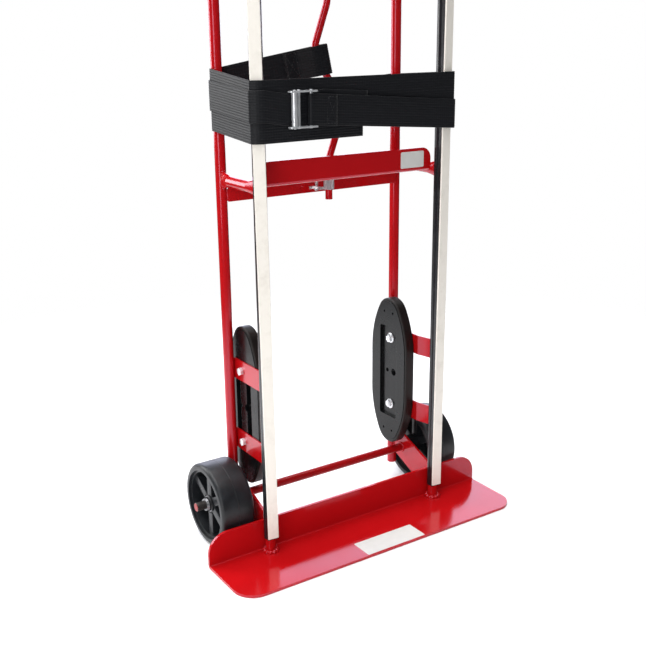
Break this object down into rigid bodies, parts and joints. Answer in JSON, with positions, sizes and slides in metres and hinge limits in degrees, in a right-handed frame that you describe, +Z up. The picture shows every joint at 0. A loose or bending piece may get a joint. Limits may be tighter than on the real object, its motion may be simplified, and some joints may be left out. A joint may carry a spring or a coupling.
{
  "type": "appliance hand truck",
  "caption": "Tall tubular hand truck for appliances: wide toe plate, rear wheels, stair-climber belts, rail wear strips and a ratchet crank that winds a buckled strap.",
  "frame": {"origin": "on the floor, under the middle of the truck's footprint", "axes": "+X to the right seen from the load side, -Y towards the load, +Z up"},
  "size_m": [0.61, 0.2915, 1.524],
  "materials": {
    "red_enamel": "glossy powder coat",
    "black_cover": "extruded, glossy",
    "cream_strip": "extruded, matt",
    "tyre_rubber": "moulded, matt",
    "wheel_plastic": "moulded, satin",
    "zinc_steel": "zinc plated",
    "grey_plastic": "moulded, satin",
    "belt_rubber": "moulded, matt",
    "grip_vinyl": "dipped vinyl",
    "black_webbing": "woven webbing"
  },
  "bodies": {
    "frame": {"axle": "red_enamel", "axle_plate_left": "red_enamel", "axle_plate_right": "red_enamel", "buckle_lock_bar": "zinc_steel", "buckle_loop_bar": "zinc_steel", "buckle_plate_lower": "zinc_steel", "buckle_plate_upper": "zinc_steel", "buckle_roller_pin": "zinc_steel", "climber_belt_left": "belt_rubber", "climber_belt_right": "belt_rubber", "climber_bolts": "zinc_steel", "climber_bracket_lower_left": "red_enamel", "climber_bracket_lower_right": "red_enamel", "climber_bracket_upper_left": "red_enamel", "climber_bracket_upper_right": "red_enamel", "climber_core_left": "grey_plastic", "climber_core_right": "grey_plastic", "climber_nuts": "zinc_steel", "front_rail_left": "red_enamel", "front_rail_right": "red_enamel", "handle_bow": "red_enamel", "handle_grip": "grip_vinyl", "inner_washer_left": "zinc_steel", "inner_washer_right": "zinc_steel", "mid_cross_member": "red_enamel", "outer_washer_left": "zinc_steel", "outer_washer_right": "zinc_steel", "pawl_pin": "zinc_steel", "push_nut_left": "zinc_steel", "push_nut_right": "zinc_steel", "rail_cover_left": "black_cover", "rail_cover_right": "black_cover", "rail_pad_left": "cream_strip", "rail_pad_right": "cream_strip", "rear_tube_left": "red_enamel", "rear_tube_right": "red_enamel", "spacer_mid_left": "red_enamel", "spacer_mid_right": "red_enamel", "spacer_upper_left": "red_enamel", "spacer_upper_right": "red_enamel", "strap_crank_end": "black_webbing", "strap_inner_turns": "black_webbing", "strap_outer_turn": "black_webbing", "toe_plate": "red_enamel", "upper_cross_member": "red_enamel"},
    "wheel_left": {"tyre_left": "tyre_rubber", "wheel_core_left": "wheel_plastic", "wheel_bush_left": "zinc_steel"},
    "wheel_right": {"tyre_right": "tyre_rubber", "wheel_core_right": "wheel_plastic", "wheel_bush_right": "zinc_steel"},
    "crank": {"crank_rod": "red_enamel", "ratchet_pinion": "zinc_steel", "pinion_pin": "zinc_steel", "crank_washer": "zinc_steel", "crank_cotter": "zinc_steel"},
    "pawl": {"pawl": "zinc_steel"},
    "buckle_roller": {"buckle_roller": "zinc_steel"}
  },
  "joints": [
    {"name": "wheel_left_spin", "type": "hinge", "parent": "frame", "child": "wheel_left", "pos_m": [-0.238, 0.06955, 0.0762], "axis": [1, 0, 0], "continuous": true},
    {"name": "wheel_right_spin", "type": "hinge", "parent": "frame", "child": "wheel_right", "pos_m": [0.238, 0.06955, 0.0762], "axis": [1, 0, 0], "continuous": true},
    {"name": "crank_turn", "type": "hinge", "parent": "frame", "child": "crank", "pos_m": [0, 0.05225, 0.66], "axis": [0, 0, 1], "range_deg": [0, 72], "deforming": ["strap_crank_end"]},
    {"name": "pawl_swing", "type": "hinge", "parent": "frame", "child": "pawl", "pos_m": [-0.0146, 0.07025, 0.6337], "axis": [0, 0, 1], "range_deg": [-20, 6]},
    {"name": "buckle_roller_spin", "type": "hinge", "parent": "frame", "child": "buckle_roller", "pos_m": [-0.136, -0.05748, 0.783], "axis": [0, 0, 1], "continuous": true}
  ]
}
